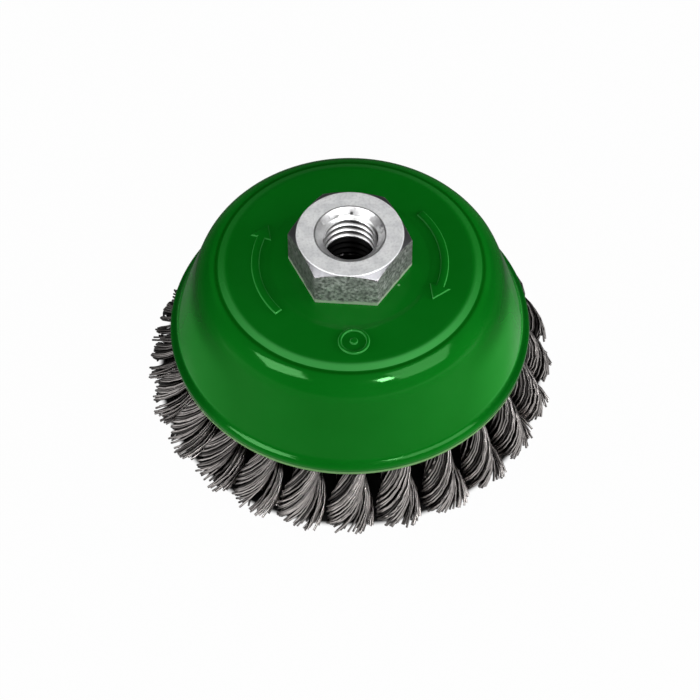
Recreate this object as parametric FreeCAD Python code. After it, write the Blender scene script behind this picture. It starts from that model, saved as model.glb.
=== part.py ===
import FreeCAD, Part
import math
import os
from FreeCAD import Vector

# Twisted-knot wire cup brush for an angle grinder, in millimetres. The wire tips lie in the plane
# z = 0, the brush turns about +Z and the threaded hub points up.

# Ring of knots
KNOT_COUNT = 24
KNOT_CIRCLE = 91.2         # diameter through the knots' centres in the face plane
KNOT_LEAN = 25.0           # degrees that each knot leans outwards
KNOT_LAY = 33.0            # height in which the two legs of a knot make one full turn
KNOT_GAP = 0.5             # between neighbouring knots where they are widest
BELLY_HEIGHT = 4.5         # of the widest place above the wire tips
NECK_WIDTH = 8.0           # across both legs where the cup's rim hides them
NECK_ABOVE_RIM = 2.5
TIP_WIDTH = 10.2           # across both legs at the trimmed tips
NECK_SPREAD = 0.65         # leg centre's offset from the knot's centre, in leg radii
TIP_SPREAD = 0.40
BUNDLE_DIAMETER = 3.4      # the folded bundle where it loops through the knot plate
BUNDLE_SWELL = 0.15        # by which a leg is thicker where its twist starts

# Facets of a knot
KNOT_BANDS = 10
LOBE_POINTS = 9
VALLEY = 0.25              # half of the flat between the two legs
WAIST_ANGLE = 154.0        # degrees that a leg's outline goes round each way, where the legs stand apart
STRAND_RELIEF = 0.25       # depth of the grooves between a leg's strands
LOOP_SIDES = 6
LOOP_STEPS = 4

# Knot plate, which carries the knots
PLATE_SHEET = 1.4
PLATE_BEND = 4.0
HOLE_CLEARANCE = 0.45      # round the folded bundle in its hole
HOLE_WEB = 2.1             # from a hole to the plate's edge
SKIRT_LENGTH = 13.8        # from the plate's corner down to its edge
LOOP_CLEARANCE = 0.3       # between the folded bundle and the web inside it
TWIST_START = 1.4          # below the edge of the knot plate

# Cup
CUP_SHEET = 1.2
RIM_HEIGHT = 16.2          # of the cup's rim above the wire tips
CUP_HEIGHT = 25.8          # from the rim to the top of the crown
CROWN_SLOPE = 1.5          # degrees
CROWN_MARGIN = 2.0         # from the knot plate's corner to the edge of the crown
STEP_WIDTH = 1.8           # sloping edge of the crown
STEP_DROP = 0.9
STEP_ROUND = 3.0
STEP_CREASE = 0.6
SHOULDER_SLOPE = 18.0      # degrees, where the shoulder starts
SHOULDER_ROUND = 8.0
WALL_TAPER = 17.3          # degrees from the vertical
LIP_HEIGHT = 3.4           # from the rim to the foot of the straight wall
LIP_CREST = 2.4            # height of the lip's widest place above the rim
LIP_BULGE = 1.75           # from the wall's foot out to the widest place
LIP_CURL = 0.35            # by which the rim turns in again
LIP_ROUND = 1.4
LIP_CREASE = 1.6
WALL_CLEARANCE = 0.15      # between the knots and the inside of the cup

# Support plate under the knot plate
SUPPORT_SHEET = 1.6
NEST_GAP = 0.4             # by which its bend is larger than the knot plate's inner bend
SUPPORT_ABOVE_LOOPS = 1.2

# Hub, an M14 nut with a spigot that is swaged under the plates
ACROSS_FLATS = 25.4
HUB_TURN = -4.0            # degrees, of the flats about the axis
HUB_HEIGHT = 10.5
HUB_CHAMFER = 30.0         # degrees, of the crowned chamfer where it leaves the flat face
FACE_INSET = 0.4           # by which that face is smaller than the flats
SEAT_MARGIN = 2.2          # by which the crown's flat seat is wider than the flats
THREAD_MINOR = 11.84       # M14 x 2
COUNTERSINK = 16.4
SPIGOT_DIAMETER = 16.6
SPIGOT_CLEARANCE = 0.05
TAIL_DIAMETER = 21.0
TAIL_THICKNESS = 1.5
TAIL_CHAMFER = 0.9
TAIL_ROLL = 1.2

AXIS = Vector(0, 0, 1)
ORIGIN = Vector(0, 0, 0)
LEAN = math.radians(KNOT_LEAN)
KNOT_STEP = 360.0 / KNOT_COUNT
SPIGOT_HOLE = SPIGOT_DIAMETER / 2 + SPIGOT_CLEARANCE
CROWN_TOP = RIM_HEIGHT + CUP_HEIGHT
CROWN_SEAT = ACROSS_FLATS + SEAT_MARGIN
BUNDLE = BUNDLE_DIAMETER / 2
HOLE = BUNDLE + HOLE_CLEARANCE
LOOP_RADIUS = PLATE_SHEET / 2 + LOOP_CLEARANCE + BUNDLE


def axis_radius(z):
    """Distance of a knot's centre line from the brush's axis at height z."""
    return KNOT_CIRCLE / 2 - z * math.tan(LEAN)


def under_crown(depth):
    """Radius and height where the crown's slope starts, on a face that lies depth below its top."""
    return CROWN_SEAT / 2 - depth * math.tan(math.radians(CROWN_SLOPE) / 2), CROWN_TOP - depth


def skirt_corner(depth, outwards):
    """Where that face meets the skirt, a cone that lies outwards of the knots' centre lines."""
    seat_r, seat_z = under_crown(depth)
    slope = math.tan(math.radians(CROWN_SLOPE))
    skirt = KNOT_CIRCLE / 2 + outwards / math.cos(LEAN)
    z = (seat_z - slope * (skirt - seat_r)) / (1 - slope * math.tan(LEAN))
    return skirt - z * math.tan(LEAN), z


CORNER_R, CORNER_Z = skirt_corner(CUP_SHEET, PLATE_SHEET / 2)
EDGE_Z = CORNER_Z - SKIRT_LENGTH * math.cos(LEAN)
HOLE_Z = EDGE_Z + (HOLE_WEB + HOLE) * math.cos(LEAN)
KNOT_TOP = EDGE_Z - TWIST_START
NECK_Z = RIM_HEIGHT + NECK_ABOVE_RIM


def rounded_path(corners):
    """A wire in the XZ plane through (radius, height, fillet) corners."""
    points = [Vector(r, 0, z) for r, z, fillet in corners]
    edges = []
    start = points[0]
    for before, corner, after, (r, z, fillet) in zip(points, points[1:], points[2:], corners[1:]):
        back = (before - corner).normalize()
        ahead = (after - corner).normalize()
        half = back.getAngle(ahead) / 2
        reach = fillet / math.tan(half)
        end = corner + back * reach
        edges.append(Part.makeLine(start, end))
        start = end
        if fillet > 0:
            crest = corner + (back + ahead).normalize() * fillet * (1 / math.sin(half) - 1)
            start = corner + ahead * reach
            edges.append(Part.Arc(end, crest, start).toShape())
    edges.append(Part.makeLine(start, points[-1]))
    return Part.Wire(edges)


def turned(face):
    return face.revolve(ORIGIN, AXIS, 360)


def pressed_sheet(corners, thickness):
    """A round pressing whose outer face follows the corners, with its thickness inwards."""
    section = rounded_path(corners).makeOffset2D(-thickness, join=2, fill=True, openResult=True)
    return turned(section.Faces[0])


def cylinder(diameter, bottom, top):
    return Part.makeCylinder(diameter / 2, top - bottom, Vector(0, 0, bottom))


def knot_stations():
    """Height, half width across both legs, spread of the legs and relief of the strands, upwards."""
    room = axis_radius(BELLY_HEIGHT) * math.sin(math.radians(KNOT_STEP / 2))
    top_leg = BUNDLE + BUNDLE_SWELL
    return [
        (0.0, TIP_WIDTH / 2, TIP_SPREAD, STRAND_RELIEF),
        (BELLY_HEIGHT, room - KNOT_GAP / 2, TIP_SPREAD, STRAND_RELIEF),
        (NECK_Z, NECK_WIDTH / 2, NECK_SPREAD, STRAND_RELIEF),
        (KNOT_TOP, LOOP_RADIUS + top_leg, LOOP_RADIUS / top_leg, 0.0),
    ]


def knot_size(z):
    """Half width, spread and relief at height z, eased from one station to the next."""
    stations = knot_stations()
    for low, high in zip(stations, stations[1:]):
        if z <= high[0]:
            break
    t = (z - low[0]) / (high[0] - low[0])
    blend = t * t * (3 - 2 * t)
    return [a + (b - a) * blend for a, b in zip(low[1:], high[1:])]


def knot_outline(z):
    """Section of a knot at height z, seen from above with its centre at the origin and +X outwards."""
    half_width, spread, relief = knot_size(z)
    radius = half_width / (1 + spread)
    offset = radius * spread
    widest = math.cos(math.radians(WAIST_ANGLE))
    open_angle = math.acos(max((VALLEY - offset) / radius, widest))
    turn = -2 * math.pi * (KNOT_TOP - z) / KNOT_LAY
    outline = []
    for side in (0, math.pi):
        for i in range(LOBE_POINTS):
            around = open_angle * (2 * i / (LOBE_POINTS - 1) - 1)
            strand = radius - relief * (i % 2)
            x = offset + strand * math.cos(around)
            y = strand * math.sin(around)
            radial = x * math.cos(turn + side) - y * math.sin(turn + side)
            tangential = x * math.sin(turn + side) + y * math.cos(turn + side)
            outline.append(Vector(radial / math.cos(LEAN), tangential, 0))
    return outline


def knot_ring(z):
    centre = Vector(axis_radius(z), 0, z)
    return [centre + point for point in knot_outline(z)]


def knot_room(z):
    """Radius inside the cup that keeps clear of the knots at height z."""
    return max(point.x for point in knot_ring(z)) + WALL_CLEARANCE


def polygon(points):
    return Part.makePolygon(points + points[:1])


def twisted_band(upper, lower):
    """Triangles between two rings of one knot, split along the outward bulge."""
    faces = []
    for i in range(len(upper)):
        j = (i + 1) % len(upper)
        faces.append(Part.Face(polygon([upper[i], lower[i], upper[j]])))
        faces.append(Part.Face(polygon([lower[i], lower[j], upper[j]])))
    return faces


def loop_rings():
    """Six-sided sections of the folded bundle, from the inner leg through the hole to the outer leg."""
    down = Vector(math.sin(LEAN), 0, -math.cos(LEAN))
    outward = Vector(math.cos(LEAN), 0, math.sin(LEAN))
    bend_z = HOLE_Z - LOOP_RADIUS * math.cos(LEAN)
    bend = Vector(axis_radius(bend_z), 0, bend_z)
    rings = []
    for step in range(LOOP_STEPS + 1):
        angle = math.pi * step / LOOP_STEPS
        towards = outward * -math.cos(angle) - down * math.sin(angle)
        ring = []
        for side in range(LOOP_SIDES):
            around = 2 * math.pi * (side + 0.5) / LOOP_SIDES
            arm = towards * (LOOP_RADIUS + BUNDLE * math.cos(around))
            ring.append(bend + arm + Vector(0, BUNDLE * math.sin(around), 0))
        rings.append(ring)
    return [drop(rings[0], down)] + rings + [drop(rings[-1], down)]


def drop(ring, down):
    """The ring slid along the knot onto the plane where the twist starts."""
    return [point + down * ((point.z - KNOT_TOP) / -down.z) for point in ring]


def knot():
    """One knot pointing along +X: the looped bundle above and its two legs twisted together below."""
    heights = [KNOT_TOP * (1 - band / KNOT_BANDS) for band in range(KNOT_BANDS + 1)]
    rings = [knot_ring(z) for z in heights]
    loop = loop_rings()
    legs = [polygon(loop[0]), polygon(loop[-1])]
    faces = [Part.makeFace([polygon(rings[0])] + legs, "Part::FaceMakerBullseye")]
    for upper, lower in zip(rings, rings[1:]):
        faces += twisted_band(upper, lower)
    for near, far in zip(loop, loop[1:]):
        for i in range(LOOP_SIDES):
            j = (i + 1) % LOOP_SIDES
            faces.append(Part.Face(polygon([near[i], near[j], far[j], far[i]])))
    faces.append(Part.Face(polygon(rings[-1])))
    skin = Part.makeCompound(faces)
    skin.sewShape()
    return Part.makeSolid(skin.Shells[0])


def cup():
    """The painted steel cup, pressed from one sheet."""
    taper = math.tan(math.radians(WALL_TAPER))
    foot_z = RIM_HEIGHT + LIP_HEIGHT
    rim_past_necks = knot_room(RIM_HEIGHT) + CUP_SHEET
    wall_past_legs = knot_room(KNOT_TOP) + CUP_SHEET / math.cos(math.radians(WALL_TAPER))
    rim_past_legs = wall_past_legs + (KNOT_TOP - foot_z) * taper + LIP_BULGE - LIP_CURL
    rim = max(rim_past_necks, rim_past_legs)
    crown_edge = CORNER_R + CROWN_MARGIN
    crown_drop = (crown_edge - CROWN_SEAT / 2) * math.tan(math.radians(CROWN_SLOPE))
    step_foot = crown_edge + STEP_WIDTH
    step_z = CROWN_TOP - crown_drop - STEP_DROP
    crest = rim + LIP_CURL
    foot = crest - LIP_BULGE
    slope = math.tan(math.radians(SHOULDER_SLOPE))
    shoulder = (foot + (foot_z - step_z - slope * step_foot) * taper) / (1 - slope * taper)
    shoulder_z = step_z - slope * (shoulder - step_foot)
    corners = [
        (SPIGOT_HOLE, CROWN_TOP, 0),
        (CROWN_SEAT / 2, CROWN_TOP, 0),
        (crown_edge, CROWN_TOP - crown_drop, STEP_ROUND),
        (step_foot, step_z, STEP_CREASE),
        (shoulder, shoulder_z, SHOULDER_ROUND),
        (foot, foot_z, LIP_CREASE),
        (crest, RIM_HEIGHT + LIP_CREST, LIP_ROUND),
        (rim, RIM_HEIGHT, 0),
    ]
    return pressed_sheet(corners, CUP_SHEET)


def knot_plate():
    """The dished plate under the crown, with a hole near its edge for each knot."""
    seat_r, seat_z = under_crown(CUP_SHEET)
    corners = [
        (SPIGOT_HOLE, seat_z, 0),
        (seat_r, seat_z, 0),
        (CORNER_R, CORNER_Z, PLATE_BEND),
        (CORNER_R + SKIRT_LENGTH * math.sin(LEAN), EDGE_Z, 0),
    ]
    plate = pressed_sheet(corners, PLATE_SHEET)
    outward = Vector(math.cos(LEAN), 0, math.sin(LEAN))
    centre = Vector(axis_radius(HOLE_Z), 0, HOLE_Z)
    drill = Part.makeCylinder(HOLE, 2 * PLATE_SHEET, centre - outward * PLATE_SHEET, outward)
    return plate.cut([placed(drill, number) for number in range(KNOT_COUNT)])


def placed(shape, number):
    """A copy turned from +X to its place in the ring, where number 0 faces the front, -Y."""
    return shape.rotated(ORIGIN, AXIS, number * KNOT_STEP - 90)


def support_plate():
    """The smaller pressing nested inside the knot plate, which stiffens it above the loops."""
    depth = CUP_SHEET + PLATE_SHEET
    seat_r, seat_z = under_crown(depth)
    corner_r, corner_z = skirt_corner(depth, -PLATE_SHEET / 2)
    edge_z = HOLE_Z + BUNDLE + SUPPORT_ABOVE_LOOPS
    corners = [
        (SPIGOT_HOLE, seat_z, 0),
        (seat_r, seat_z, 0),
        (corner_r, corner_z, PLATE_BEND - PLATE_SHEET + NEST_GAP),
        (corner_r + (corner_z - edge_z) * math.tan(LEAN), edge_z, 0),
    ]
    return pressed_sheet(corners, SUPPORT_SHEET)


def hub_nut():
    """The hexagonal hub: chamfered on top, countersunk, bored for its thread and swaged below."""
    top = CROWN_TOP + HUB_HEIGHT
    corner_radius = ACROSS_FLATS / 2 / math.cos(math.radians(30))
    corners = []
    for i in range(6):
        angle = math.radians(HUB_TURN + 60 * i)
        corners.append(Vector(corner_radius * math.cos(angle), corner_radius * math.sin(angle), CROWN_TOP))
    hexagon = Part.Face(polygon(corners)).extrude(Vector(0, 0, HUB_HEIGHT))
    face = (ACROSS_FLATS - FACE_INSET) / 2
    crown_angle = math.radians(HUB_CHAMFER)
    crown_centre = Vector(0, 0, top - face / math.tan(crown_angle))
    body = hexagon.common(Part.makeSphere(face / math.sin(crown_angle), crown_centre))
    stack = CROWN_TOP - CUP_SHEET - PLATE_SHEET - SUPPORT_SHEET
    tail_bottom = stack - TAIL_THICKNESS
    tail = turned(Part.Face(rounded_tail(stack, tail_bottom)))
    body = body.fuse([cylinder(SPIGOT_DIAMETER, stack, CROWN_TOP), tail])
    bore = cylinder(THREAD_MINOR, tail_bottom, top)
    mouth_depth = (COUNTERSINK - THREAD_MINOR) / 2
    mouth = Part.makeCone(THREAD_MINOR / 2, COUNTERSINK / 2, mouth_depth, Vector(0, 0, top - mouth_depth))
    outlet_radius = THREAD_MINOR / 2 + TAIL_CHAMFER
    outlet = Part.makeCone(outlet_radius, THREAD_MINOR / 2, TAIL_CHAMFER, Vector(0, 0, tail_bottom))
    return body.cut([bore, mouth, outlet]).removeSplitter()


def rounded_tail(top, bottom):
    """Outline of the swaged collar under the plates, rolled over at its outer edge."""
    path = rounded_path([
        (0, top, 0),
        (TAIL_DIAMETER / 2, top, 0),
        (TAIL_DIAMETER / 2, bottom, TAIL_ROLL),
        (0, bottom, 0),
    ])
    return Part.Wire(path.Edges + [Part.makeLine(Vector(0, 0, bottom), Vector(0, 0, top))])


def export(name, shape):
    if not shape.isValid():
        raise ValueError(name + " is not a valid solid")
    shape.exportStep("parts/" + name + ".step")


os.makedirs("parts", exist_ok=True)
export("cup", cup())
export("hub_nut", hub_nut())
export("knot_plate", knot_plate())
export("support_plate", support_plate())
first_knot = knot()
for number in range(KNOT_COUNT):
    export("knot_%02d" % (number + 1), placed(first_knot, number))
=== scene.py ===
import math
import random

import bpy
from mathutils import Matrix, Quaternion, Vector


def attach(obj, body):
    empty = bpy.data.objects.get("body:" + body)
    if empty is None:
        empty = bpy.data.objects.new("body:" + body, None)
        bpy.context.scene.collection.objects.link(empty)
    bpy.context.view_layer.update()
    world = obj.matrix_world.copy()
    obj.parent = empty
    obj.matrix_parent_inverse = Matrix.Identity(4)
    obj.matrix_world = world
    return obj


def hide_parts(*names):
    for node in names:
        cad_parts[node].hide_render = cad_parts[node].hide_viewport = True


MM = 0.001

# Camera, in metres, with its lens and sensor in millimetres
CAMERA_PLACE = (0.0, -0.49253, 0.66041)
CAMERA_AIM = (0.0, 0.0, 0.0073)
CAMERA_LENS = 172.0
CAMERA_SENSOR = 36.0
CAMERA_REACH = 10.0

# Knots, in millimetres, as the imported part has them
KNOT_COUNT = 24
KNOT_CIRCLE = 91.2
LEAN = math.radians(25.0)
LAY = 33.0
KNOT_TOP = 26.53
HOLE_Z = 31.79
LOOP_RADIUS = 2.7
BUNDLE = 1.7
STATIONS = [
    # height, half width across both legs, spread of the legs
    (0.0, 5.1, 0.40),
    (4.5, 5.43, 0.40),
    (18.7, 4.0, 0.65),
    (KNOT_TOP, 4.55, 1.46),
]
# How near a leg's wires come to the plane between the legs, how much wider the knot is round the ring
# at its tips, and how far round its leg a wire can lie
VALLEY = 0.25
FULLNESS = 1.05
WIDEST_ARC = math.radians(154.0)

# Wires: none of them goes past REACH, and the cuts are shares of a leg's height and of its bend
WIRE = 0.53
WIRE_SIDES = 6
WIRE_SMOOTHING = math.radians(80.0)
LAYERS = [
    # wires of one leg in each layer, depth under the leg's outline, brightness, which falls inwards as
    # painted shade inside the knot
    (20, 0.27, 0.82),
    (14, 0.75, 0.24),
    (8, 1.30, 0.04),
    (6, 1.95, 0.04),
    (3, 2.60, 0.04),
]
TONE_SPREAD = 0.6
END_TONE = 0.4
# Painted shade on a wire's flanks, as a share of its tone
FLANK_TONE = 0.05
REACH = 49.85
LEG_CUTS = [0.0, 0.07, 0.15, 0.23, 0.31, 0.4, 0.49, 0.58, 0.68, 0.83, 1.0]
BEND_CUTS = [0.0, 0.25, 0.5, 0.75, 1.0]
FIRST_SEED = 4100

# How far the wires of a leg are out of true
STRAY_CHANCE = 0.05
LOWEST_END = 0.32
END_SPREAD = 1.1
STRAY_END_SPREAD = 2.5
SWING = 0.4
STRAY_SWING = 1.5
FLARE = 0.25
LOOSE_HEIGHT = 9.0
DRIFT = 0.09
DRIFT_HEIGHT = 6.0
DEPTH_SPREAD = 0.14
AROUND_SPREAD = 0.025

# Crown of the cup, and the plain marks pressed up from it
CROWN_TOP = 42.0
CROWN_START = 13.8
CROWN_FALL = 0.41 / 15.7
PAD_RADIUS = 19.4
PAD_EDGE = 0.8
PAD_DEPTH = 0.18
MARK_HEIGHT = 0.45
MARK_SINK = 0.2
MARK_BEVEL = 0.36
MARK_SMOOTHING = math.radians(40.0)
RING_PLACE = (0.9, -23.5)
RING_RADII = (2.85, 3.75)
RING_SIDES = 40
DOT_RADIUS = 1.0
DOT_SIDES = 16
ARROW_RADIUS = 22.4
ARROW_TIPS = [-30.0, 150.0]
ARROW_HEAD = 11.0
ARROW_LENGTH = 72.0
ARROW_RUNS = 18
HEAD_HALF_WIDTH = 2.6
SHAFT_HALF_WIDTH = 1.0

# Thread of the hub, M14 x 2, and the tap that cuts it
HUB_TOP = 52.5
HUB_BOTTOM = 36.3
PITCH = 2.0
THREAD_MINOR = 5.94
THREAD_MAJOR = 7.0
THREAD_PROFILE = [
    # radius, height within one pitch
    (THREAD_MINOR, 0.0),
    (THREAD_MINOR, 0.5),
    (THREAD_MAJOR, 1.125),
    (THREAD_MAJOR, 1.375),
    (THREAD_MINOR, PITCH),
]
SPARE_TURNS = 3
TURN_STEPS = 72
TAP_WELD = 0.01

# Edges of the hub
HUB_WELD = 0.002
HUB_FLATNESS = math.radians(0.6)
HUB_BEVEL = 0.12
HUB_EDGE_ANGLE = math.radians(28.0)
HUB_SMOOTHING = math.radians(25.0)

# Enamel of the cup, in millimetres: a pair is where a change starts and where it is complete
CROWN_HEIGHTS = (39.5, 40.2)
CREASE_RADIUS = 31.8
CREASE_REACH = 0.75
STEP_START = (29.2, 30.2)
STEP_END = (31.2, 31.4)
STEP_FADE = (-26.0, 6.0)
MARKS_END = (27.5, 28.0)
MARKS_HEIGHTS = (41.3, 41.4)
RIM_END = (16.9, 17.5)
LIP_END = (19.5, 20.0)
FOLD_HEIGHT = 20.2
FOLD_REACH = 0.5
WALL_START = (20.0, 20.8)
WALL_END = (28.0, 35.0)
SHOULDER_START = (30.0, 36.0)
SIDE_START = (26.0, 41.0)
NIB_SPACING = 13.0
NIB_EDGE = (0.015, 0.03)
WAVE_DEPTH = 0.012

# Steel of the hub, in the same way
LEVEL_SLOPE = (0.7, 0.8)
BORE_END = (8.4, 8.6)
FACE_END = (12.6, 12.8)
BURR_START = (41.5, 41.8)
BURR_END = (43.1, 43.6)
LEFT_FLAT = (-9.5, -7.0)
RIGHT_FLAT = (7.0, 9.5)
ROOT_START = (6.0, 6.5)
ROOT_TOP = (50.2, 50.7)
WELL_START = (36.4, 37.0)
WELL_END = (42.8, 45.0)
WELL_EDGE = (7.1, 7.4)
RINGS_PER_MM = 0.4
TURNED_DEPTH = 0.015
FORGED_DEPTH = 0.16

# Paper, in the same way; its size is in metres
PAPER_SIZE = 6.0
SHADOW_END = (45.8, 47.4)
DUSK_START = (-70.0, -10.0)
LIT_START = (49.0, 56.0)
LIT_END = (58.0, 74.0)
BACK_START = (-20.0, 10.0)
RIGHT_START = (20.0, 50.0)
RIGHT_SHIFT = 16.0
PAPER_SHADE = (0.03, 0.03, 0.03)

# Light from all round, and the lamps, in metres
AMBIENT = 0.3
WHITE = (1.0, 1.0, 1.0)
LAMP_AIM = (0.0, -0.03, 0.03)
LAMPS = [
    # name, place, width and height, radiance, what it is for, roll in degrees
    ("box_right", (0.443, -0.248, 0.678), (0.42, 0.45), 6.0, "sheen", -27.0),
    ("box_left", (-0.434, -0.288, 0.672), (0.33, 0.31), 12.0, "sheen", 46.0),
    ("bulb", (0.215, -0.395, 0.65), (0.09, 0.12), 80.0, "sheen", 0.0),
    ("overhead", (0.05, 0.1, 0.9), (0.5, 0.5), 1.8, "colour", 0.0),
    ("front_key", (0.25, -1.05, 0.40), (0.9, 0.5), 3.6, "colour", 0.0),
    ("right_key", (0.98, -0.1, 0.20), (0.5, 0.3), 20.0, "colour", 0.0),
    ("left_key", (-0.98, -0.3, 0.22), (0.5, 0.3), 11.5, "colour", 0.0),
]


def photograph_camera():
    """The camera that sees the brush as the photograph shows it."""
    lens = bpy.data.cameras.new("camera")
    lens.lens = CAMERA_LENS
    lens.sensor_width = CAMERA_SENSOR
    lens.clip_end = CAMERA_REACH
    camera = bpy.data.objects.new("camera", lens)
    camera.location = CAMERA_PLACE
    aim = Vector(CAMERA_AIM) - camera.location
    camera.rotation_euler = aim.to_track_quat("-Z", "Y").to_euler()
    bpy.context.collection.objects.link(camera)
    bpy.context.scene.camera = camera


class Level:
    """A value that nodes work out. Sums on it add the nodes for them."""

    def __init__(self, nodes, socket):
        self.nodes = nodes
        self.socket = socket

    def __add__(self, other):
        return self.nodes.maths("ADD", self, other)

    def __radd__(self, other):
        return self.nodes.maths("ADD", other, self)

    def __sub__(self, other):
        return self.nodes.maths("SUBTRACT", self, other)

    def __rsub__(self, other):
        return self.nodes.maths("SUBTRACT", other, self)

    def __mul__(self, other):
        return self.nodes.maths("MULTIPLY", self, other)

    def __pow__(self, other):
        return self.nodes.maths("POWER", self, other)

    def between(self, low, high):
        """0 below low, 1 above high and an easy slope between them."""
        settings = {"interpolation_type": "SMOOTHSTEP"}
        return self.nodes.node("MapRange", settings, {"Value": self, "From Min": low, "From Max": high})

    def within(self, start, end):
        """1 from where the start is complete to where the end begins, and 0 outside both."""
        return self.between(*start) * (1 - self.between(*end))

    def near(self, place, reach):
        """1 at a place, fading to 0 at its reach either way."""
        away = self.nodes.maths("ABSOLUTE", self - place)
        return 1 - away.between(0.0, reach)


class Nodes:
    """The nodes of a material or of the world."""

    def __init__(self, owner):
        owner.use_nodes = True
        self.tree = owner.node_tree

    def feed(self, socket, value):
        """Links a socket to a value that nodes work out, or sets it to a plain number or colour."""
        if isinstance(value, Level):
            self.tree.links.new(value.socket, socket)
        elif isinstance(value, tuple) and len(value) < len(socket.default_value):
            socket.default_value = (*value, 1.0)
        else:
            socket.default_value = value

    def node(self, kind, settings, values, output=0):
        """What a new node gives, with those settings and with those values at its sockets."""
        node = self.tree.nodes.new("ShaderNode" + kind)
        for name, value in settings.items():
            setattr(node, name, value)
        for name, value in values.items():
            self.feed(node.inputs[name], value)
        return Level(self, node.outputs[output])

    def maths(self, operation, *values):
        return self.node("Math", {"operation": operation}, dict(enumerate(values)))

    def part(self, vector, letter):
        """The X, Y or Z of a vector."""
        return self.node("SeparateXYZ", {}, {0: vector}, letter)

    def ray(self, kind):
        """1 for a ray of that kind."""
        return self.node("LightPath", {}, {}, "Is %s Ray" % kind)

    def mirrored(self):
        """1 for a ray that shows the surroundings in metal or gloss."""
        return self.maths("MAXIMUM", self.ray("Glossy"), self.ray("Transmission"))


class Finish(Nodes):
    """A material whose finish is mixed from nodes."""

    def __init__(self, name, **shader):
        self.material = bpy.data.materials.new(name)
        super().__init__(self.material)
        self.shader = self.tree.nodes["Principled BSDF"]
        for socket, value in shader.items():
            self.set(socket.replace("_", " "), value)
        self.place = self.node("TexCoord", {}, {}, "Object")

    def set(self, socket, value):
        self.feed(self.shader.inputs[socket], value)

    def tint(self, colour, *layers):
        """The colour, which each layer turns to its own colour by its amount."""
        for amount, tinted in layers:
            colour = self.node("Mix", {"data_type": "RGBA"}, {0: amount, 6: colour, 7: tinted}, 2)
        return colour

    def noise(self, size, detail=3.0):
        """Noise whose features are about the size given in millimetres."""
        values = {"Vector": self.place, "Scale": 1 / (size * MM), "Detail": detail}
        return self.node("TexNoise", {}, values, "Fac")

    def axis(self, letter):
        """How far along an axis the surface is, in millimetres."""
        return self.part(self.place, letter) * (1 / MM)

    def radius(self):
        """How far from the brush's own axis the surface is, in millimetres."""
        return (self.axis("X") ** 2 + self.axis("Y") ** 2) ** 0.5

    def slope(self):
        """1 where the surface looks straight up, 0 where it is upright."""
        return self.part(self.node("NewGeometry", {}, {}, "Normal"), "Z")

    def relief(self, height, depth):
        """Bumps as deep as given in millimetres where the height goes from 0 to 1."""
        bump = self.node("Bump", {}, {"Height": height, "Distance": depth * MM, "Strength": 1.0})
        self.set("Normal", bump)


def green_enamel():
    """Gloss enamel with small nibs: painted highlights over the step and the marks' edges, and a paler
    rim, partly worn paint and partly a painted highlight.

    On the wall's sides it is lighter, a painted sheen, and on the lip and the shoulder there it is
    darker, a painted shade; a painted highlight runs along the fold there, and painted shade along
    the crease at the crown's edge.
    """
    finish = Finish("cup_paint", Metallic=0.0, Specular_IOR_Level=0.25, Specular_Tint=(0.32, 1.0, 0.36))
    radius = finish.radius()
    height = finish.axis("Z")
    crown = height.between(*CROWN_HEIGHTS)
    # Painted shade along the crease at the crown's edge.
    crease = radius.near(CREASE_RADIUS, CREASE_REACH) * crown
    # Painted highlight over the step, brightest at the front and fading to the back.
    step = radius.within(STEP_START, STEP_END) * crown
    step = step * (0.5 - finish.axis("Y").between(*STEP_FADE) * 0.38)
    # Painted highlight on the steep edges of the pressed marks.
    steep = 1 - finish.slope().between(0.75, 0.97)
    edges = steep * (1 - radius.between(*MARKS_END)) * height.between(*MARKS_HEIGHTS)
    # Paler band at the rim: partly worn paint and partly a painted highlight on its rounded edge.
    rim = 1 - height.between(*RIM_END)
    # On the wall's sides: a painted sheen on the wall, a painted highlight along the fold, and painted
    # shade on the lip and the shoulder.
    side = finish.maths("ABSOLUTE", finish.axis("X")).between(*SIDE_START)
    wall = height.within(WALL_START, WALL_END) * side
    fold = height.near(FOLD_HEIGHT, FOLD_REACH) * side
    lip = 1 - height.between(*LIP_END)
    shoulder = height.between(*SHOULDER_START) * (1 - crown)
    nibs = {"Vector": finish.place, "Scale": 1 / (NIB_SPACING * MM)}
    nib = 1 - finish.node("TexVoronoi", {}, nibs, "Distance").between(*NIB_EDGE)
    green = finish.tint(
        (0.001, 0.122, 0.005),
        (finish.noise(14.0), (0.004, 0.148, 0.010)),
        (wall * 0.8, (0.018, 0.23, 0.028)),
        ((lip + shoulder) * side * 0.75, (0.0005, 0.05, 0.003)),
        (step + edges * 0.55 + fold * 0.4, (0.055, 0.36, 0.078)),
        (crease * 0.7, (0.0005, 0.055, 0.0005)),
        (nib * 0.6, (0.3, 0.6, 0.3)),
        (rim * 0.7, (0.25, 0.46, 0.19)),
    )
    finish.set("Base Color", green)
    finish.set("Roughness", 0.09 + step * 0.8)
    fine = (finish.noise(1.3, 2.0) * 0.25 + finish.noise(9.0, 1.0) + nib * 2.0) * WAVE_DEPTH
    pad = radius.between(PAD_RADIUS - PAD_EDGE, PAD_RADIUS + PAD_EDGE)
    finish.relief(fine + pad * PAD_DEPTH, 1.0)
    return finish.material


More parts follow.
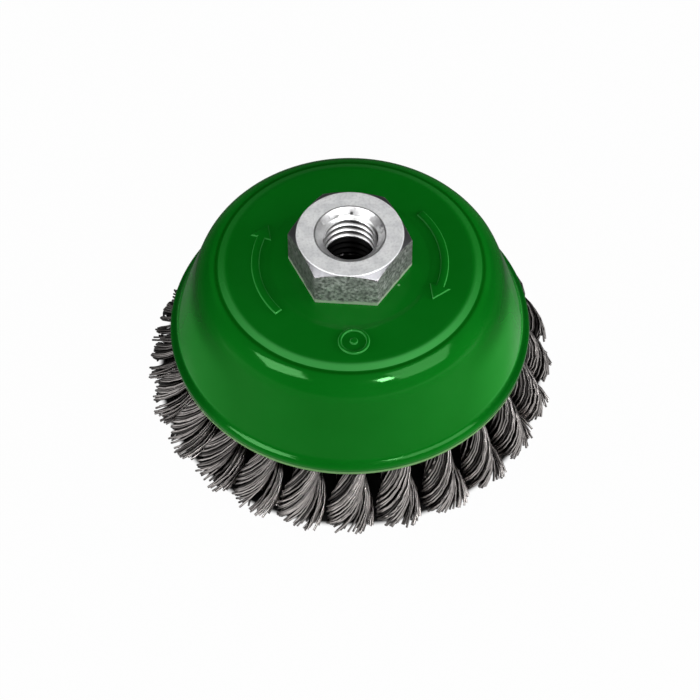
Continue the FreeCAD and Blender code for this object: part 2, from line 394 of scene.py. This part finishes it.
def hub_steel():
    """Steel: turned on the face and in the bore, and forged on the flats, with a burr at their foot."""
    finish = Finish("hub_steel")
    height = finish.axis("Z")
    radius = finish.radius()
    level = finish.slope().between(*LEVEL_SLOPE)
    inside = 1 - radius.between(*BORE_END)
    turned = finish.maths("MAXIMUM", level, inside)
    satin = level * (1 - inside) * (1 - radius.between(*FACE_END))
    blotches = finish.noise(0.8, 6.0).between(0.28, 0.72)
    scale = finish.noise(2.4, 4.0).between(0.4, 0.66)
    ragged = height + scale * 0.5 + blotches * 0.3
    burr = (1 - ragged.between(*BURR_END)) * height.between(*BURR_START)
    # Painted shade: the left flats darker and the right ones a little darker.
    left = 1 - finish.axis("X").between(*LEFT_FLAT)
    right = finish.axis("X").between(*RIGHT_FLAT)
    forged = finish.tint(
        (0.14, 0.13, 0.14),
        (blotches, (0.9, 0.85, 0.89)),
        (scale * 0.5, (0.31, 0.292, 0.307)),
        ((left + right * 0.4) * 0.6, (0.06, 0.055, 0.06)),
        (burr, (0.85, 0.88, 0.78)),
    )
    settings = {"wave_type": "RINGS", "rings_direction": "Z"}
    values = {"Vector": finish.place, "Scale": RINGS_PER_MM / MM, "Distortion": 0.6, "Detail": 3.0}
    rings = finish.node("TexWave", settings, values, "Fac")
    # Painted shade: the bore a little darker and the thread's roots near black.
    roots = radius.between(*ROOT_START) * (1 - height.between(*ROOT_TOP)) * inside
    bright = finish.tint(
        (0.84, 0.85, 0.86),
        (finish.noise(3.5).between(0.35, 0.65), (0.99, 1.0, 1.0)),
        (finish.noise(0.7, 4.0).between(0.4, 0.8) * 0.5, (0.55, 0.55, 0.56)),
        (rings * 0.06, (0.5, 0.5, 0.51)),
        (inside * 0.4, (0.45, 0.44, 0.44)),
        (roots * 0.94, (0.03, 0.027, 0.027)),
        ((1 - satin) * (1 - inside), (0.2, 0.2, 0.21)),
    )
    # Painted shade: the bore's lower part black.
    well = height.within(WELL_START, WELL_END) * (1 - radius.between(*WELL_EDGE))
    finish.set("Base Color", finish.tint(forged, (turned, bright), (well, (0.001, 0.001, 0.001))))
    finish.set("Metallic", 0.76 + turned * 0.22 - satin * 0.73)
    finish.set("Roughness", 0.42 - inside * 0.06 + blotches * 0.06)
    pits = finish.noise(0.8, 4.0) * (1 - turned)
    finish.relief(pits + rings * turned * TURNED_DEPTH, FORGED_DEPTH)
    return finish.material


def zinc_plate():
    """Zinc-plated sheet with a faint spangle."""
    finish = Finish("plate_steel", Metallic=1.0)
    spangle = finish.noise(5.0)
    finish.set("Base Color", finish.tint((0.40, 0.40, 0.42), (spangle, (0.60, 0.59, 0.56))))
    finish.set("Roughness", 0.3 + finish.noise(2.0) * 0.2)
    finish.relief(finish.noise(1.5), 0.02)
    return finish.material


def wire_steel():
    """Drawn wire, as bright as its tone, which carries painted shade, and streaked with brown."""
    finish = Finish("wire_steel", Metallic=1.0)
    tone = finish.node("Attribute", {"attribute_name": "tone"}, {}, "Fac")
    streaks = finish.noise(1.1)
    steel = finish.tint(
        (0.004, 0.003, 0.003),
        (tone, (0.88, 0.825, 0.80)),
        (streaks.between(0.5, 0.8) * 0.5 * tone, (0.12, 0.09, 0.08)),
    )
    finish.set("Base Color", steel)
    finish.set("Roughness", 0.28 + streaks * 0.12)
    return finish.material


def take(thing):
    """Puts an object in the scene and makes it the one that is worked on."""
    bpy.context.collection.objects.link(thing)
    bpy.ops.object.select_all(action="DESELECT")
    thing.select_set(True)
    bpy.context.view_layer.objects.active = thing


def new_object(name, points, edges, faces):
    """An object with that mesh, ready to be worked on. The points are in metres."""
    mesh = bpy.data.meshes.new(name)
    mesh.from_pydata(points, edges, faces)
    thing = bpy.data.objects.new(name, mesh)
    take(thing)
    return thing


def open_mesh():
    """Starts the work on the mesh, with all of it selected."""
    bpy.ops.object.mode_set(mode="EDIT")
    bpy.ops.mesh.select_all(action="SELECT")


def close_mesh():
    """Turns every face outwards and ends the work on the mesh."""
    bpy.ops.mesh.select_all(action="SELECT")
    bpy.ops.mesh.normals_make_consistent(inside=False)
    bpy.ops.object.mode_set(mode="OBJECT")


def modify(thing, name, kind, **settings):
    """Applies a modifier with those settings."""
    modifier = thing.modifiers.new(name, kind)
    for setting, value in settings.items():
        setattr(modifier, setting, value)
    bpy.ops.object.modifier_apply(modifier=name)


def dress(thing, material):
    """Gives an object its finish."""
    thing.data.materials.clear()
    thing.data.materials.append(material)


def start_piece(name, material):
    """Names the object just modelled, gives it its finish and lets it ride on the brush."""
    piece = bpy.context.object
    piece.name = name
    piece.data.name = name
    dress(piece, material)
    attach(piece, "root")
    return piece


def crown_point(radius, angle, centre=(0.0, 0.0)):
    """A point on the crown, in polar coordinates about a centre on it."""
    x = centre[0] + radius * math.cos(math.radians(angle))
    y = centre[1] + radius * math.sin(math.radians(angle))
    z = CROWN_TOP - (math.hypot(x, y) - CROWN_START) * CROWN_FALL
    return x, y, z


def arrow_outline(tip):
    """An arrow that points clockwise round the crown: its head, then its shaft in short runs."""
    shaft = ARROW_LENGTH - ARROW_HEAD
    angles = [tip + ARROW_HEAD + shaft * k / ARROW_RUNS for k in range(ARROW_RUNS + 1)]
    widths = [(angles[0], HEAD_HALF_WIDTH)]
    widths += [(angle, SHAFT_HALF_WIDTH) for angle in angles]
    points = [crown_point(ARROW_RADIUS, tip)]
    for angle, half_width in widths:
        points += [crown_point(ARROW_RADIUS + half_width, angle)]
        points += [crown_point(ARROW_RADIUS - half_width, angle)]
    faces = [(0, 1, 3, 4, 2)]
    faces += [(k, k + 2, k + 3, k + 1) for k in range(3, len(points) - 3, 2)]
    return points, faces


def ring_outline():
    """A round mark: a ring and the dot in its middle."""
    points = []
    for k in range(RING_SIDES):
        points += [crown_point(radius, 360 * k / RING_SIDES, RING_PLACE) for radius in RING_RADII]
    count = len(points)
    faces = [(k, k + 1, (k + 3) % count, (k + 2) % count) for k in range(0, count, 2)]
    points += [crown_point(DOT_RADIUS, 360 * k / DOT_SIDES, RING_PLACE) for k in range(DOT_SIDES)]
    faces.append(tuple(range(count, len(points))))
    return points, faces


def pressed_mark(name, outline, material):
    """A mark that stands up from the crown with soft edges."""
    points, faces = outline
    new_object(name, [(x * MM, y * MM, (z - MARK_SINK) * MM) for x, y, z in points], [], faces)
    open_mesh()
    rise = (0, 0, (MARK_SINK + MARK_HEIGHT) * MM)
    bpy.ops.mesh.extrude_region_move(TRANSFORM_OT_translate={"value": rise})
    bpy.ops.mesh.region_to_loop()
    bpy.ops.mesh.bevel(offset=MARK_BEVEL * MM, segments=3)
    close_mesh()
    bpy.ops.object.shade_smooth_by_angle(angle=MARK_SMOOTHING)
    start_piece(name, material)


def straight_wire(cuts):
    """One straight wire, whose rings of vertices stand a metre apart along Z."""
    bpy.ops.object.select_all(action="DESELECT")
    bpy.ops.mesh.primitive_circle_add(vertices=WIRE_SIDES, radius=WIRE / 2, fill_type="NGON")
    open_mesh()
    for _ in range(cuts - 1):
        bpy.ops.mesh.extrude_region_move(TRANSFORM_OT_translate={"value": (0, 0, 1)})
    close_mesh()
    wire = bpy.context.object
    places = [(v.co.x, v.co.y, round(v.co.z)) for v in wire.data.vertices]
    faces = [tuple(p.vertices) for p in wire.data.polygons]
    bpy.data.objects.remove(wire)
    return places, faces


def eased(z):
    """Half width across both legs and spread of the legs at height z."""
    for low, high in zip(STATIONS, STATIONS[1:]):
        if z <= high[0]:
            break
    t = min((z - low[0]) / (high[0] - low[0]), 1.0)
    blend = t * t * (3 - 2 * t)
    return [a + (b - a) * blend for a, b in zip(low[1:], high[1:])]


def leg_point(z, side, depth, around, away=(0.0, 0.0)):
    """Centre of a wire at height z: around runs from -1 to 1 over the open side of its leg."""
    half_width, spread = eased(z)
    radius = half_width / (1 + spread)
    offset = radius * spread
    arc = math.acos(max((VALLEY - offset) / radius, math.cos(WIDEST_ARC)))
    inner = radius - depth
    x = offset + inner * math.cos(around * arc) + away[0]
    y = inner * math.sin(around * arc) + away[1]
    turn = side - 2 * math.pi * (KNOT_TOP - z) / LAY
    radial = x * math.cos(turn) - y * math.sin(turn)
    tangential = x * math.sin(turn) + y * math.cos(turn)
    tangential *= 1 + (FULLNESS - 1) * (1 - z / KNOT_TOP)
    outwards = KNOT_CIRCLE / 2 - z * math.tan(LEAN) + radial / math.cos(LEAN)
    pull = min(1.0, (REACH - WIRE / 2) / math.hypot(outwards, tangential))
    return Vector((outwards * pull, tangential * pull, z))


def bend_point(share, depth, around):
    """Centre of a wire in the bundle's bend over the plate, from the outer leg to the inner one."""
    down = Vector((math.sin(LEAN), 0, -math.cos(LEAN)))
    outward = Vector((math.cos(LEAN), 0, math.sin(LEAN)))
    bend_z = HOLE_Z - LOOP_RADIUS * math.cos(LEAN)
    bend = Vector((KNOT_CIRCLE / 2 - bend_z * math.tan(LEAN), 0, bend_z))
    towards = outward * math.cos(math.pi * share) - down * math.sin(math.pi * share)
    inner = BUNDLE - depth
    arm = towards * (LOOP_RADIUS + inner * math.cos(around * math.pi))
    return bend + arm + Vector((0, inner * math.sin(around * math.pi), 0))


def leg_path(side, depth, around, chance):
    """The centres of one wire of a leg, from its cut end up to where the twist starts."""
    stray = chance.random() < STRAY_CHANCE
    end = LOWEST_END + END_SPREAD * chance.random() ** 2.0
    if stray:
        end += STRAY_END_SPREAD * chance.random()
    swing = STRAY_SWING if stray else SWING
    flare = (chance.gauss(FLARE, swing), chance.gauss(0.0, swing))
    drift = chance.gauss(0.0, DRIFT)
    sway = chance.uniform(0.0, 2 * math.pi)
    depth = depth + abs(chance.gauss(0.0, DEPTH_SPREAD))
    around = around + chance.gauss(0.0, AROUND_SPREAD)
    path = []
    for cut in LEG_CUTS:
        z = end + (KNOT_TOP - end) * cut
        loose = max(0.0, 1 - z / LOOSE_HEIGHT) ** 2
        wander = around + drift * math.sin(z / DRIFT_HEIGHT + sway) * (1 - cut)
        path.append(leg_point(z, side, depth, wander, (flare[0] * loose, flare[1] * loose)))
    return path


def loop_path(depth, around):
    """The centres of one wire from the outer leg's top over the plate's web to the inner leg's top."""
    bend = [bend_point(share, depth, around) for share in BEND_CUTS]
    return [leg_point(KNOT_TOP, 0.0, depth, around), *bend, leg_point(KNOT_TOP, math.pi, depth, -around)]


def knot_axis(z):
    """The middle of the knot at height z."""
    return Vector((KNOT_CIRCLE / 2 - z * math.tan(LEAN), 0, z))


def laid(places, path):
    """The straight wire's vertices, laid along the path with their X away from the knot's axis."""
    rings = []
    for i, centre in enumerate(path):
        along = (path[min(i + 1, len(path) - 1)] - path[max(i - 1, 0)]).normalized()
        outwards = centre - knot_axis(centre.z)
        outwards = (outwards - along * outwards.dot(along)).normalized()
        rings.append((centre, outwards, along.cross(outwards)))
    return [rings[k][0] + rings[k][1] * x + rings[k][2] * y for x, y, k in places]


def wire_knot(number, leg_wire, loop_wire, material):
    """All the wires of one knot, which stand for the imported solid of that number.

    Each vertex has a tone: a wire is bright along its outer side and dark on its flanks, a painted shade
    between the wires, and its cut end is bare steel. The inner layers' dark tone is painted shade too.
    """
    chance = random.Random(FIRST_SEED + number)
    points = []
    faces = []
    tones = []

    def add(wire, path, brightness, end_tone):
        places, wire_faces = wire
        start = len(points)
        points.extend(laid(places, path))
        faces.extend([tuple(start + v for v in face) for face in wire_faces])
        tone = min(max(chance.gauss(brightness, TONE_SPREAD * brightness), 0.0), 1.0)
        # The flanks get painted shade; the cut end stays bright.
        for x, _, ring in places:
            outer = max(x, 0.0) / (WIRE / 2)
            here = tone * (FLANK_TONE + (1 - FLANK_TONE) * outer)
            tones.append(here if ring else max(here, end_tone))

    for count, depth, brightness in LAYERS:
        for i in range(count):
            around = (2 * i + 1) / count - 1
            add(leg_wire, leg_path(0.0, depth, around, chance), brightness, END_TONE)
            add(leg_wire, leg_path(math.pi, depth, -around, chance), brightness, END_TONE)
            add(loop_wire, loop_path(depth, around), brightness, 0.0)
    turn = Matrix.Rotation(math.radians(number * 360 / KNOT_COUNT - 90), 3, "Z")
    knot = new_object("wires", [turn @ point * MM for point in points], [], faces)
    knot.data.attributes.new("tone", "FLOAT", "POINT").data.foreach_set("value", tones)
    bpy.ops.object.shade_smooth_by_angle(angle=WIRE_SMOOTHING)
    piece = start_piece("wires_%02d" % (number + 1), material)
    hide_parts("knot_%02d" % (number + 1))


def thread_tap():
    """A tap as wide as the thread: one pitch of its profile, screwed up past both ends of the hub."""
    start = HUB_BOTTOM - SPARE_TURNS / 2 * PITCH
    corners = [(radius * MM, 0, (start + height) * MM) for radius, height in THREAD_PROFILE]
    tap = new_object("tap", corners, [(i, i + 1) for i in range(len(corners) - 1)], [])
    modify(
        tap,
        "screw",
        "SCREW",
        screw_offset=PITCH * MM,
        iterations=math.ceil((HUB_TOP - HUB_BOTTOM) / PITCH) + SPARE_TURNS,
        steps=TURN_STEPS,
        render_steps=TURN_STEPS,
        use_merge_vertices=True,
        merge_threshold=TAP_WELD * MM,
    )
    open_mesh()
    bpy.ops.mesh.remove_doubles(threshold=TAP_WELD * MM)
    bpy.ops.mesh.select_all(action="DESELECT")
    bpy.ops.mesh.select_non_manifold()
    bpy.ops.mesh.fill_holes(sides=0)
    close_mesh()
    return tap


def threaded_hub(plain, material):
    """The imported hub's own form, with softened edges and its thread cut by the tap."""
    tap = thread_tap()
    hub = plain.copy()
    hub.data = plain.data.copy()
    hub.parent = None
    hub.name = "threaded_hub"
    take(hub)
    open_mesh()
    bpy.ops.mesh.remove_doubles(threshold=HUB_WELD * MM)
    bpy.ops.mesh.dissolve_limited(angle_limit=HUB_FLATNESS)
    bpy.ops.object.mode_set(mode="OBJECT")
    modify(hub, "soft_edges", "BEVEL", width=HUB_BEVEL * MM, segments=2, angle_limit=HUB_EDGE_ANGLE)
    modify(hub, "thread", "BOOLEAN", object=tap, operation="DIFFERENCE", solver="EXACT")
    bpy.data.objects.remove(tap)
    bpy.ops.object.shade_smooth_by_angle(angle=HUB_SMOOTHING)
    modify(hub, "even_shading", "WEIGHTED_NORMAL", keep_sharp=True)
    piece = start_piece("threaded_hub", material)
    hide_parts("hub_nut")


def studio_floor():
    """Pale paper. The camera sees it white, but for a painted shadow: a dark disc under the brush, which
    its own shadow falls on as well.

    Metal and gloss see it white close round the front of the brush, and dark beside and behind it.
    """
    bpy.ops.object.select_all(action="DESELECT")
    bpy.ops.mesh.primitive_plane_add(size=PAPER_SIZE)
    floor = bpy.context.object
    floor.name = "floor"
    finish = Finish("floor", Roughness=1.0, Specular_IOR_Level=0.0)
    radius = finish.radius()
    mirrored = finish.mirrored()
    clear = radius.between(*SHADOW_END)
    dusk = mirrored * finish.axis("Y").between(*DUSK_START)
    # Painted shadow: the paper is dark under the brush, and in reflections it darkens from in front of
    # the brush to behind it.
    shade = finish.tint(PAPER_SHADE, (clear, (0.5, 0.5, 0.5)), (dusk * 0.88, PAPER_SHADE))
    finish.set("Base Color", shade)
    behind = finish.axis("Y") - finish.axis("X").between(*RIGHT_START) * RIGHT_SHIFT
    lit = radius.between(*LIT_START) * (1 - radius.between(*LIT_END) * 0.9)
    lit = lit * (1 - behind.between(*BACK_START) * 0.95)
    share = finish.ray("Camera") * 0.98 * clear + mirrored * lit
    glow = finish.node("Emission", {}, {"Color": WHITE, "Strength": 1.0})
    paper = Level(finish, finish.shader.outputs[0])
    mixed = finish.node("MixShader", {}, {0: share, 1: paper, 2: glow})
    finish.tree.links.new(mixed.socket, finish.tree.nodes["Material Output"].inputs["Surface"])
    floor.data.materials.append(finish.material)


def studio_world():
    """White for the camera and a little light from all round.

    Metal and gloss see a soft room, which darkens overhead and behind and brightens to the right.
    """
    world = bpy.data.worlds.new("studio")
    bpy.context.scene.world = world
    nodes = Nodes(world)
    direction = nodes.node("TexCoord", {}, {}, "Generated")
    overhead = nodes.part(direction, "Z").between(0.0, 0.2)
    back = nodes.part(direction, "Y").between(-0.4, 0.3)
    right = nodes.part(direction, "X").between(-0.2, 0.8)
    room = (0.85 - overhead * 0.8) * (1 - back * 0.94) * (0.8 + right * 0.9)
    camera = nodes.ray("Camera")
    mirrored = nodes.mirrored()
    level = camera + mirrored * room + (1 - camera) * (1 - mirrored) * AMBIENT
    background = nodes.tree.nodes["Background"]
    nodes.feed(background.inputs["Color"], WHITE)
    nodes.feed(background.inputs["Strength"], level)


def softbox(name, place, size, radiance, only, roll):
    """A rectangular lamp of a given radiance, turned to the brush, for its sheen or its colour only."""
    light = bpy.data.lights.new(name, "AREA")
    light.shape = "RECTANGLE"
    light.size = size[0]
    light.size_y = size[1]
    light.energy = radiance * math.pi * size[0] * size[1]
    lamp = bpy.data.objects.new(name, light)
    lamp.location = place
    towards = Vector(LAMP_AIM) - lamp.location
    rolled = Quaternion((0.0, 0.0, 1.0), math.radians(roll))
    lamp.rotation_euler = (towards.to_track_quat("-Z", "Y") @ rolled).to_euler()
    lamp.visible_glossy = only != "colour"
    lamp.visible_diffuse = only != "sheen"
    bpy.context.collection.objects.link(lamp)


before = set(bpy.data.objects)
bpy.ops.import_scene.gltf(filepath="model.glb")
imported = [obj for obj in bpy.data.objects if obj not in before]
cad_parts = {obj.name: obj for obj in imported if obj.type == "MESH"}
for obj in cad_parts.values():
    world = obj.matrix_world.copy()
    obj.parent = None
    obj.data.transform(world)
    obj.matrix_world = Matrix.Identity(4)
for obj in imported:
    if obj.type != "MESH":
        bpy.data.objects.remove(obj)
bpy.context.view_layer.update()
photograph_camera()
bpy.context.scene.view_settings.view_transform = "Standard"

paint = green_enamel()
hub_finish = hub_steel()
zinc = zinc_plate()
wire_finish = wire_steel()

dress(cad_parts["cup"], paint)
dress(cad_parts["knot_plate"], zinc)
dress(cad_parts["support_plate"], zinc)
threaded_hub(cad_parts["hub_nut"], hub_finish)
pressed_mark("round_mark", ring_outline(), paint)
for number, tip in enumerate(ARROW_TIPS):
    pressed_mark("arrow_mark_%d" % (number + 1), arrow_outline(tip), paint)

leg_wire = straight_wire(len(LEG_CUTS))
loop_wire = straight_wire(len(BEND_CUTS) + 2)
for number in range(KNOT_COUNT):
    wire_knot(number, leg_wire, loop_wire, wire_finish)

studio_world()
studio_floor()
for lamp in LAMPS:
    softbox(*lamp)
